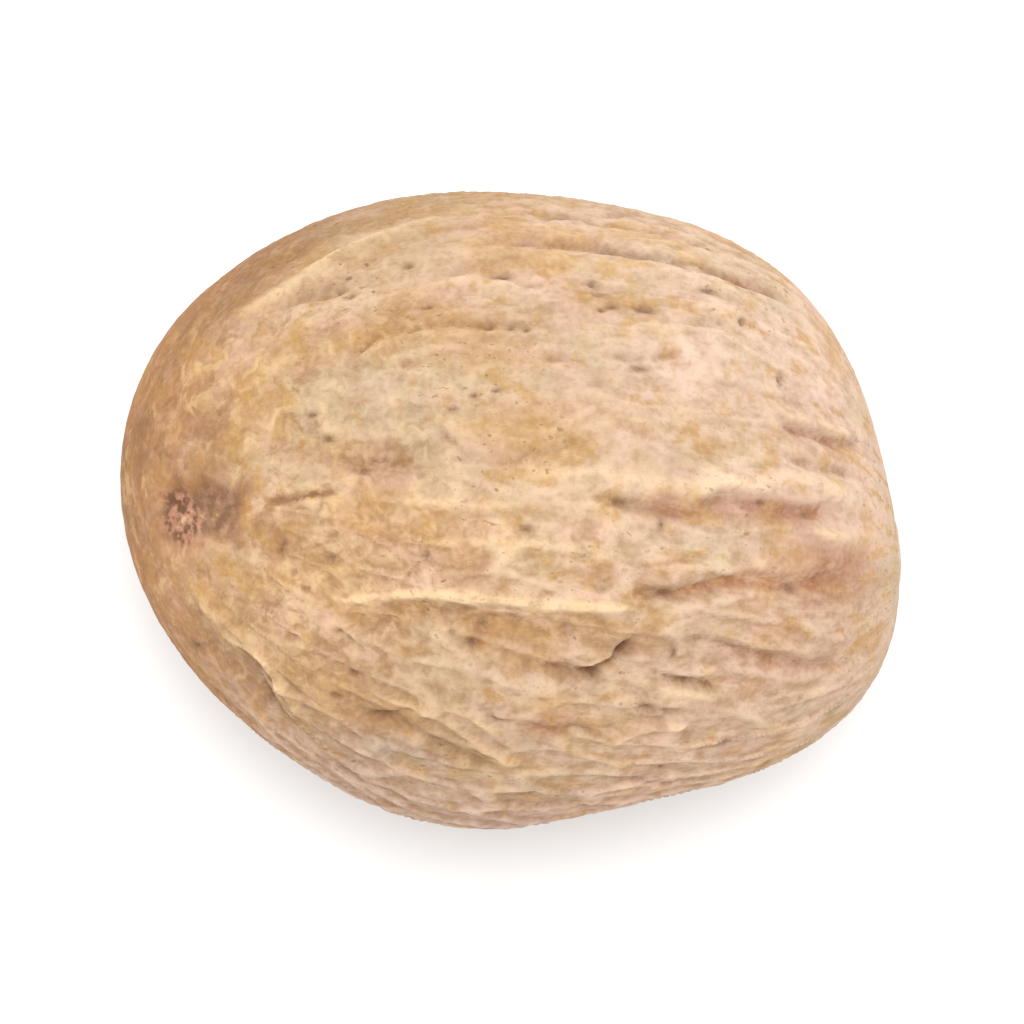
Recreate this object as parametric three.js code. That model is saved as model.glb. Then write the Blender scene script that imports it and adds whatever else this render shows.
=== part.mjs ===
// A whole nutmeg: the dried seed, shelled and uncut, one solid piece lying on its side.
// Millimetres, +Z up. +X runs along the nutmeg to its broad end. The origin is on the surface
// that it lies on, under the middle of its length and width.
//
// The seed's fibres run from the narrow tip to the hilum, a pale raised disc low on the broad
// end. The folds of the skin follow them, so the relief is worked out in grain coordinates:
// "along" is the angle from the tip, seen from the middle of the body, and "turn" goes round the
// line that joins the tip and the hilum, from the top. The chalaza, a small sunken scar of two
// bowls, lies just above the tip.
import * as THREE from "three";

// Body: an ellipsoid with blunt corners
const HALF_LENGTH = 12.95;
const HALF_WIDTH = 10.3;
const HALF_HEIGHT = 9.75;
const FLAT_DEPTH = 0.3; // how deep the resting flat cuts into the underside
const CORNERS = [
  // how many go round the outline, how proud they are as a share of the radius, where one is
  { count: 4, share: 0.0207, degrees: -25.6 },
  { count: 5, share: 0.0177, degrees: -23.6 },
  { count: 6, share: 0.0084, degrees: -22 },
];
const CORNER_FADE = 1.5; // the power by which the corners fade towards the top and the underside
const LUMPS = { size: 7, height: 0.35, seed: 5 };
const NOISE_GAIN = 1.4; // brings the noise to about -1 to 1

// Directions from the middle of the body to the tip, where the fibres meet, and to the chalaza
const TIP_WAY = new THREE.Vector3(-0.97, 0, 0.242).normalize();
const CHALAZA_WAY = new THREE.Vector3(-0.872, -0.111, 0.478).normalize();

// Scars
const SCAR_REACH = 12; // from the middle of the body to the scars
const CHALAZA = {
  // where each bowl lies, up and across from the chalaza's middle, and half its size that way
  bowls: [
    { up: -0.8, across: 0.34, halfUp: 0.9, halfAcross: 0.95 },
    { up: 0.95, across: -0.1, halfUp: 1.05, halfAcross: 0.78 },
  ],
  softness: 0.3, // the share of a bowl's size over which its edge slopes
  depth: 0.15,
  lip: { height: 0.06, at: 1.7, width: 0.45 }, // its place and width as shares of the bowl's size
};
const HILUM = { radius: 2.1, rim: 0.45, height: 0.22 };

// Folds: a net of ridges, long along the grain, strong on one side and faint on the other
const NET = { cells: 50, rows: 8, jitter: 0.8, height: 0.14, crest: 0.26, floor: 0.32, seed: 21 };
const FAINT_SHARE = 0.3;
const STRONG_SIDE = { from: -8, to: 176, blend: 22 }; // degrees of turn
const BROAD_END = { from: 90, to: 132, share: 0.75 }; // degrees along where the faint side's grow
const END_CLEARANCE = { near: 16, full: 46 }; // degrees from an end where the folds start
const PATCHES = { cells: 9, rows: 3, least: 0.6, spread: 0.6, seed: 41 };
const SWELLS = { cells: 14, rows: 4, height: 0.18, seed: 24 };
const WANDER = [
  { cells: 20, rows: 7, degrees: 3.4, seed: 11 },
  { cells: 34, rows: 11, degrees: 1.5, seed: 12 },
];
const CREASE_WANDER = 0.35; // the share of the wander that the single creases take

// Single ridges and creases: height (below zero for a crease), half width, and the line that
// each one follows, as pairs of degrees along and degrees of turn
const CREASES = [
  // long pale ridge and the hollow under it
  {
    height: 0.3,
    width: 0.26,
    line: [[48, 29], [53, 25.3], [57, 23], [63, 20.5], [70, 19.3], [82, 18.2], [94, 16.8], [100, 15.8]],
  },
  { height: -0.2, width: 0.45, line: [[55, 30.4], [63, 26], [70, 24], [82, 22.7], [89, 22.7], [95, 21]] },
  // crown ridge and the wavy furrow beside it
  {
    height: 0.16,
    width: 0.32,
    line: [[77, -7], [95, -7], [109, -7.5], [113, -10.5], [122, -11], [127, -13.3], [141, -13.2]],
  },
  {
    height: -0.22,
    width: 0.22,
    line: [[91, -3.5], [105, -2.5], [109, -3], [113, -6.2], [117, -7.2], [126, -5], [130, -5], [135, -7.8]],
  },
  // deep furrow, the hook, and the furrow beyond it
  {
    height: -0.3,
    width: 0.26,
    line: [[102, 13.2], [107, 13.1], [115, 10.2], [119, 8.6], [124, 8], [130, 9.7], [138, 7]],
  },
  { height: -0.26, width: 0.22, line: [[86, 30.2], [90, 31], [98, 31], [100, 27], [103, 22.2]] },
  { height: -0.28, width: 0.24, line: [[112, 22], [116, 22], [120, 23], [126, 25], [130, 25.5], [140, 29]] },
  // slanting ridge and furrow low on the strong side
  { height: 0.2, width: 0.2, line: [[61, 47.7], [69, 46.6], [75, 48], [79, 50.8], [83, 52.5], [88, 55.5]] },
  { height: -0.2, width: 0.24, line: [[60, 55], [62, 53.1], [66, 52.3], [74, 54.6], [84, 57.8]] },
  // ridge and hollow round the narrow end
  { height: 0.14, width: 0.24, line: [[26, 59], [32, 58], [38, 56], [45, 63], [49, 67]] },
  { height: -0.14, width: 0.6, line: [[28, 77], [32, 74], [37, 68], [43, 71], [51, 76]] },
  // shoulder furrow with its ridge, and the ridge over the narrow end on the faint side
  { height: -0.18, width: 0.24, line: [[74, -60], [90, -58.6], [103, -57], [119, -54], [125, -57]] },
  { height: 0.12, width: 0.3, line: [[80, -54.5], [96, -53], [111, -51.5], [118, -50]] },
  { height: 0.14, width: 0.3, line: [[33, -65], [37, -64], [44, -67.6], [51, -70], [62, -71]] },
  // wide hollow behind the chalaza
  { height: -0.12, width: 0.5, line: [[39, -7], [45, -6], [51, -5.8], [59, -7]] },
];
const CREASE_FADE = 6; // degrees over which a crease dies away past its ends

// Shallow oval dents: where the middle is and half the size, in degrees along and of turn
const DENTS = [{ depth: 0.1, along: 77, turn: -19, halfLength: 13, halfWidth: 9.5 }];

// Mesh: rings round the grain's axis, their columns halved towards its ends
const GIRTH_RADIUS = 10.2;
const GIRTH_COLUMNS = 176;
const LEAST_COLUMNS = 22;
const COLUMN_SPACING = 0.45;
const COLUMN_CROWDING = 0.3; // how much closer the columns stand on the strong side, as a share
// Degrees between the rings: the first step from each end, how many steps stay as small, how
// they grow after that, and the largest
const NARROW_RINGS = { first: 2, steady: 12, growth: 1.2, most: 4.5 };
const BROAD_RINGS = { first: 1.7, steady: 1, growth: 1.16, most: 4.5 };
const WANDER_PASSES = 4; // passes that lay a column along the wandering folds

const { clamp, degToRad, euclideanModulo, lerp, radToDeg, smoothstep } = THREE.MathUtils;

// The directions across a pole: topmost, and sideways.
function acrossPole(pole) {
  const top = new THREE.Vector3(0, 0, 1).projectOnPlane(pole).normalize();
  return [top, new THREE.Vector3().crossVectors(top, pole)];
}

const [TOP_WAY, SIDE_WAY] = acrossPole(TIP_WAY);
const [CHALAZA_TOP, CHALAZA_SIDE] = acrossPole(CHALAZA_WAY);

// A repeatable 32-bit number for a corner of the noise lattice.
function hash(ix, iy, iz, seed) {
  const mixed =
    Math.imul(ix, 374761393) + Math.imul(iy, 668265263) + Math.imul(iz, 1440662683) + seed * 362437;
  const low = mixed >>> 0;
  const stirred = Math.imul(low ^ (low >>> 13), 1274126177) >>> 0;
  return (stirred ^ (stirred >>> 16)) >>> 0;
}

// Ten of the hash's bits as a number from 0 to 1.
function share(bits, place) {
  return ((bits >>> (10 * place)) & 1023) / 1023;
}

// Gradient noise, about -1 to 1.
function noise(x, y, z, seed) {
  const low = [x, y, z].map(Math.floor);
  const part = [x - low[0], y - low[1], z - low[2]];
  const ease = part.map((t) => t * t * t * (t * (t * 6 - 15) + 10));
  let total = 0;
  for (let corner = 0; corner < 8; corner++) {
    const step = [corner & 1, (corner >> 1) & 1, corner >> 2];
    const bits = hash(low[0] + step[0], low[1] + step[1], low[2] + step[2], seed);
    let weight = 1;
    let rise = 0;
    for (let k = 0; k < 3; k++) {
      weight *= step[k] ? ease[k] : 1 - ease[k];
      rise += (2 * share(bits, k) - 1) * (part[k] - step[k]);
    }
    total += weight * rise;
  }
  return total * NOISE_GAIN;
}

// Noise drawn out along the grain: so many cells round the girth, so many rows from scar to scar.
function grainNoise({ along, turn }, { cells, rows, seed }) {
  const girth = cells / (2 * Math.PI);
  return noise(girth * Math.cos(turn), girth * Math.sin(turn), (along / Math.PI) * rows, seed);
}

// A net drawn out along the grain: the difference between the distances to the nearest and the
// second nearest of a jittered grid of centres, which is 0 on the borders between its meshes.
function grainNet({ along, turn }, { cells, rows, jitter, seed }) {
  const u = (turn / (2 * Math.PI)) * cells;
  const v = (along / Math.PI) * rows;
  let first = Infinity;
  let second = Infinity;
  for (let i = -1; i <= 1; i++) {
    for (let j = -1; j <= 1; j++) {
      const iu = Math.floor(u) + i;
      const iv = Math.floor(v) + j;
      const bits = hash(euclideanModulo(iu, cells), iv, 0, seed);
      const centreU = iu + 0.5 + jitter * (share(bits, 0) - 0.5);
      const centreV = iv + 0.5 + jitter * (share(bits, 1) - 0.5);
      const away = Math.hypot(centreU - u, centreV - v);
      second = Math.min(second, Math.max(first, away));
      first = Math.min(first, away);
    }
  }
  return second - first;
}

function wayOf({ along, turn }) {
  return new THREE.Vector3()
    .addScaledVector(TIP_WAY, Math.cos(along))
    .addScaledVector(TOP_WAY, Math.sin(along) * Math.cos(turn))
    .addScaledVector(SIDE_WAY, Math.sin(along) * Math.sin(turn));
}

// The smooth body: an ellipsoid with blunt corners round its middle and low lumps above and below.
function bodyRadius(way) {
  const plain = 1 / Math.hypot(way.x / HALF_LENGTH, way.y / HALF_WIDTH, way.z / HALF_HEIGHT);
  const bearing = Math.atan2(way.y, way.x);
  const cornerShare = ({ count, share, degrees }) => share * Math.cos(count * (bearing - degToRad(degrees)));
  const proud = CORNERS.reduce((sum, corner) => sum + cornerShare(corner), 0);
  const steep = way.z * way.z;
  const spot = way.clone().multiplyScalar(plain / LUMPS.size);
  const lump = LUMPS.height * steep * noise(spot.x, spot.y, spot.z, LUMPS.seed);
  return plain * (1 + proud * (1 - steep) ** CORNER_FADE) + lump;
}

// The turn, in radians, by which the fibres wander to and fro.
function wanderTurn(grain) {
  return WANDER.reduce((sum, w) => sum + degToRad(w.degrees) * grainNoise(grain, w), 0);
}

// How far the skin is clear of the ends, and how strongly it is folded: most on the strong side.
function foldStrength(grain) {
  const along = radToDeg(grain.along);
  const turn = radToDeg(grain.turn);
  const { near, full } = END_CLEARANCE;
  const clear = smoothstep(along, near, full) * smoothstep(180 - along, near, full);
  const { from, to, blend } = STRONG_SIDE;
  const strong = smoothstep(turn, from, from + blend) * (1 - smoothstep(turn, to - blend, to));
  const faint = lerp(FAINT_SHARE, BROAD_END.share, smoothstep(along, BROAD_END.from, BROAD_END.to));
  const patch = PATCHES.least + PATCHES.spread * clamp(0.5 + 0.8 * grainNoise(grain, PATCHES), 0, 1);
  return { clear, strength: clear * lerp(faint, 1, strong) * patch };
}

// The turn of a crease's line at an angle along the grain, straight between its points.
function lineTurn(line, along) {
  const next = line.findIndex(([a]) => a >= along);
  if (next === 0) return line[0][1];
  if (next < 0) return line[line.length - 1][1];
  const [a0, t0] = line[next - 1];
  const [a1, t1] = line[next];
  return t0 + ((t1 - t0) * (along - a0)) / (a1 - a0);
}

function creaseHeight(grain, { height, width, line }) {
  const along = radToDeg(grain.along);
  const first = line[0][0];
  const last = line[line.length - 1][0];
  const start = smoothstep(along, first - CREASE_FADE, first + CREASE_FADE / 2);
  const end = 1 - smoothstep(along, last - CREASE_FADE / 2, last + CREASE_FADE);
  const off = euclideanModulo(radToDeg(grain.turn) - lineTurn(line, along) + 180, 360) - 180;
  const distance = degToRad(off) * GIRTH_RADIUS * Math.sin(grain.along);
  return height * start * end * Math.exp(-((distance / width) ** 2));
}

function dentDepth(grain, { depth, along, turn, halfLength, halfWidth }) {
  const offAlong = radToDeg(grain.along) - along;
  const offTurn = euclideanModulo(radToDeg(grain.turn) - turn + 180, 360) - 180;
  return depth * Math.exp(-((offAlong / halfLength) ** 2) - (offTurn / halfWidth) ** 2);
}

// The chalaza, two bowls with a low lip, and the hilum, a flat raised disc.
function scarHeight(grain) {
  const way = wayOf(grain);
  const up = SCAR_REACH * way.dot(CHALAZA_TOP);
  const across = SCAR_REACH * way.dot(CHALAZA_SIDE);
  const share = (bowl) => Math.hypot((up - bowl.up) / bowl.halfUp, (across - bowl.across) / bowl.halfAcross);
  const away = way.dot(CHALAZA_WAY) > 0 ? Math.min(...CHALAZA.bowls.map(share)) : Infinity;
  const { softness, depth, lip } = CHALAZA;
  const pit = 1 - smoothstep(away, 1 - softness, 1 + softness);
  const rim = Math.exp(-(((away - lip.at) / lip.width) ** 2));
  const fromHilum = (Math.PI - grain.along) * SCAR_REACH;
  const disc = 1 - smoothstep(fromHilum, HILUM.radius - HILUM.rim, HILUM.radius + HILUM.rim);
  return lip.height * rim - depth * pit + HILUM.height * disc;
}

function reliefHeight(grain) {
  const wander = wanderTurn(grain);
  const { clear, strength } = foldStrength(grain);
  const folded = { along: grain.along, turn: grain.turn + wander };
  const crest = 1 - smoothstep(grainNet(folded, NET), 0, NET.crest);
  const folds = strength * NET.height * (crest - NET.floor);
  const swell = clear * SWELLS.height * grainNoise(grain, SWELLS);
  const creased = { along: grain.along, turn: grain.turn + wander * CREASE_WANDER };
  const creases = CREASES.reduce((sum, crease) => sum + creaseHeight(creased, crease), 0);
  const dents = DENTS.reduce((sum, dent) => sum + dentDepth(grain, dent), 0);
  return folds + swell + creases - dents + scarHeight(grain);
}

function skinPoint(grain) {
  const way = wayOf(grain);
  return way.multiplyScalar(bodyRadius(way) + reliefHeight(grain));
}

// Angles of the rings from one end to the girth, stretched so that the next would lie on it.
function ringsFrom({ first, steady, growth, most }) {
  const angles = [];
  let angle = first;
  let step = first;
  while (angle < 90) {
    angles.push(angle);
    if (angles.length >= steady) step = Math.min(step * growth, most);
    angle += step;
  }
  return angles.map((a) => (a * 90) / angle);
}

function ringAngles() {
  const broad = ringsFrom(BROAD_RINGS).map((a) => 180 - a);
  return [...ringsFrom(NARROW_RINGS), 90, ...broad.reverse()].map(degToRad);
}

// Places of one ring's points, each column leaning with the folds that pass through it.
function ringPlaces(along) {
  const needed = (2 * Math.PI * GIRTH_RADIUS * Math.sin(along)) / COLUMN_SPACING;
  let columns = GIRTH_COLUMNS;
  while (columns > LEAST_COLUMNS && columns / 2 >= needed) columns /= 2;
  return Array.from({ length: columns }, (_, k) => {
    const even = (2 * Math.PI * k) / columns;
    const column = even + COLUMN_CROWDING * Math.cos(even);
    const place = { along, turn: column };
    for (let pass = 0; pass < WANDER_PASSES; pass++) place.turn = column - wanderTurn(place);
    return place;
  });
}

// Two triangles over four corners, split along the diagonal that keeps closer to the skin.
function splitQuad(points, a0, a1, b0, b1) {
  const middle = new THREE.Vector3();
  for (const corner of [a0, a1, b0, b1]) middle.addScaledVector(points[corner].at, 0.25);
  const along = (points[a0].place.along + points[b0].place.along) / 2;
  const skin = skinPoint({ along, turn: turnOf(middle) });
  const gap = (from, to) => points[from].at.clone().lerp(points[to].at, 0.5).distanceTo(skin);
  return gap(a0, b1) < gap(a1, b0) ? [a0, b1, b0, a0, a1, b1] : [a0, a1, b0, a1, b1, b0];
}

function turnOf(point) {
  return Math.atan2(point.dot(SIDE_WAY), point.dot(TOP_WAY));
}

// Triangles of the band between two rings, one of which may have twice the other's columns.
function joinRings(points, a, b) {
  const triangles = [];
  const most = Math.max(a.columns, b.columns);
  const corner = (ring, k) => ring.start + (Math.floor((k * ring.columns) / most) % ring.columns);
  for (let k = 0; k < most; k++) {
    const [a0, a1, b0, b1] = [corner(a, k), corner(a, k + 1), corner(b, k), corner(b, k + 1)];
    if (a0 === a1) triangles.push(a0, b1, b0);
    else if (b0 === b1) triangles.push(a0, a1, b0);
    else triangles.push(...splitQuad(points, a0, a1, b0, b1));
  }
  return triangles;
}

function skinGeometry() {
  const points = [];
  const addRing = (places) => {
    const ring = { start: points.length, columns: places.length };
    for (const place of places) points.push({ place, at: skinPoint(place) });
    return ring;
  };
  const rings = [
    addRing([{ along: 0, turn: 0 }]),
    ...ringAngles().map((along) => addRing(ringPlaces(along))),
    addRing([{ along: Math.PI, turn: 0 }]),
  ];
  const triangles = rings.slice(1).flatMap((ring, k) => joinRings(points, rings[k], ring));
  const geometry = new THREE.BufferGeometry().setFromPoints(points.map(({ at }) => at));
  geometry.setIndex(triangles);
  return geometry;
}

// Stands the skin on z = 0, over the origin, with the lowest part of the underside pressed flat.
function settle(geometry) {
  geometry.computeBoundingBox();
  const { min, max } = geometry.boundingBox;
  geometry.translate(-(min.x + max.x) / 2, -(min.y + max.y) / 2, -min.z - FLAT_DEPTH);
  const position = geometry.getAttribute("position");
  for (let k = 0; k < position.count; k++) position.setZ(k, Math.max(position.getZ(k), 0));
  geometry.computeVertexNormals();
  return geometry;
}

const skin = new THREE.MeshStandardMaterial({ color: 0xcfa777, roughness: 0.85, metalness: 0 });
const nutmeg = new THREE.Mesh(settle(skinGeometry()), skin);
nutmeg.name = "nutmeg";

const part = new THREE.Group();
part.add(nutmeg);

export default part;
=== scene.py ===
import math

import bpy
import numpy as np
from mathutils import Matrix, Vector


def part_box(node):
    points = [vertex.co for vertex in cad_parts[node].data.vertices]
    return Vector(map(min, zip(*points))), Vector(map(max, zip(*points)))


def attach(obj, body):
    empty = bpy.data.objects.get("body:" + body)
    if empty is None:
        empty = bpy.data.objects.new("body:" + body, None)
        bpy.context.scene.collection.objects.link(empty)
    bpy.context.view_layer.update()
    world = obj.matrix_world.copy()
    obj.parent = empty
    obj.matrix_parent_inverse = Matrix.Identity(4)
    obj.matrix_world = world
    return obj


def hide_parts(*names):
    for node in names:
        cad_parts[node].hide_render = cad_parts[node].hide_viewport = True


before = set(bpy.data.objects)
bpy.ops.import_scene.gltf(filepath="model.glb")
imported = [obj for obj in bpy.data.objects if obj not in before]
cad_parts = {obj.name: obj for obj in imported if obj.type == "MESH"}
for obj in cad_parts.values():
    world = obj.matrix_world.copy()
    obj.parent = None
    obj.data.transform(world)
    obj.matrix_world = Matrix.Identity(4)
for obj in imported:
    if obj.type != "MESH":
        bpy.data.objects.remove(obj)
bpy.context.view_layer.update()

# A whole nutmeg lying on its side on a white surface, seen from straight above.
# The shape is worked out in millimetres and put into the mesh in metres.
# "along" is the angle from the narrow tip, where the fibres meet, and "turn" goes round the line
# from there to the hilum, the raised disc low on the broad end, from the top. The chalaza, the
# sunken scar, lies just above the tip.

metres = 0.001            # metres in a millimetre


def unit(v):
    # a vector of length 1
    v = np.asarray(v, float)
    return v / np.linalg.norm(v)


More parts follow.
